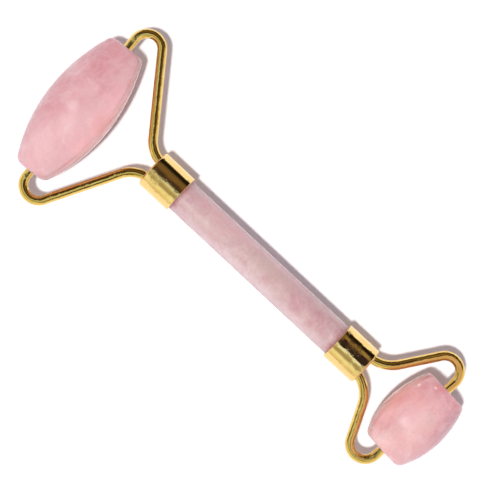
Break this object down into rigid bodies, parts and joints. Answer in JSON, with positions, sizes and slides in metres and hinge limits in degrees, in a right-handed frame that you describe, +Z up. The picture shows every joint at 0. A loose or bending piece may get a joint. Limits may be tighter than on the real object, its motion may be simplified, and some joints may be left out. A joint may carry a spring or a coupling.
{
  "type": "double-ended face roller",
  "caption": "Double-ended facial massage roller: a round stone handle with gold wire forks that carry a large and a small spinning stone barrel.",
  "frame": {"origin": "under the middle of the bounding box, on the surface that the roller lies on", "axes": "+X along the handle towards the large barrel, +Y to the left when looking along +X from above, +Z up and normal to the plane of the two wire forks"},
  "size_m": [0.1448, 0.0588, 0.02],
  "materials": {
    "rose_quartz": "polished, slightly translucent pink quartz with pale clouds",
    "gold_plated_brass": "mirror-polished yellow gold plating",
    "nylon": "natural off-white nylon",
    "cured_epoxy": "cured clear amber resin"
  },
  "bodies": {
    "handle": {"handle_stone": "rose_quartz", "large_ferrule": "gold_plated_brass", "large_ferrule_epoxy": "cured_epoxy", "large_fork_left_arm": "gold_plated_brass", "large_fork_right_arm": "gold_plated_brass", "small_ferrule": "gold_plated_brass", "small_ferrule_epoxy": "cured_epoxy", "small_fork_left_arm": "gold_plated_brass", "small_fork_right_arm": "gold_plated_brass"},
    "large_roller": {"large_roller_stone": "rose_quartz", "large_roller_left_bush": "nylon", "large_roller_right_bush": "nylon"},
    "small_roller": {"small_roller_stone": "rose_quartz", "small_roller_left_bush": "nylon", "small_roller_right_bush": "nylon"}
  },
  "joints": [
    {"name": "large_roller_spin", "type": "hinge", "parent": "handle", "child": "large_roller", "pos_m": [0.06232, 0.00117, 0.01], "axis": [-0.0802, 0.9968, 0], "continuous": true},
    {"name": "small_roller_spin", "type": "hinge", "parent": "handle", "child": "small_roller", "pos_m": [-0.06309, 0.00068, 0.01], "axis": [0.0802, 0.9968, 0], "continuous": true}
  ]
}
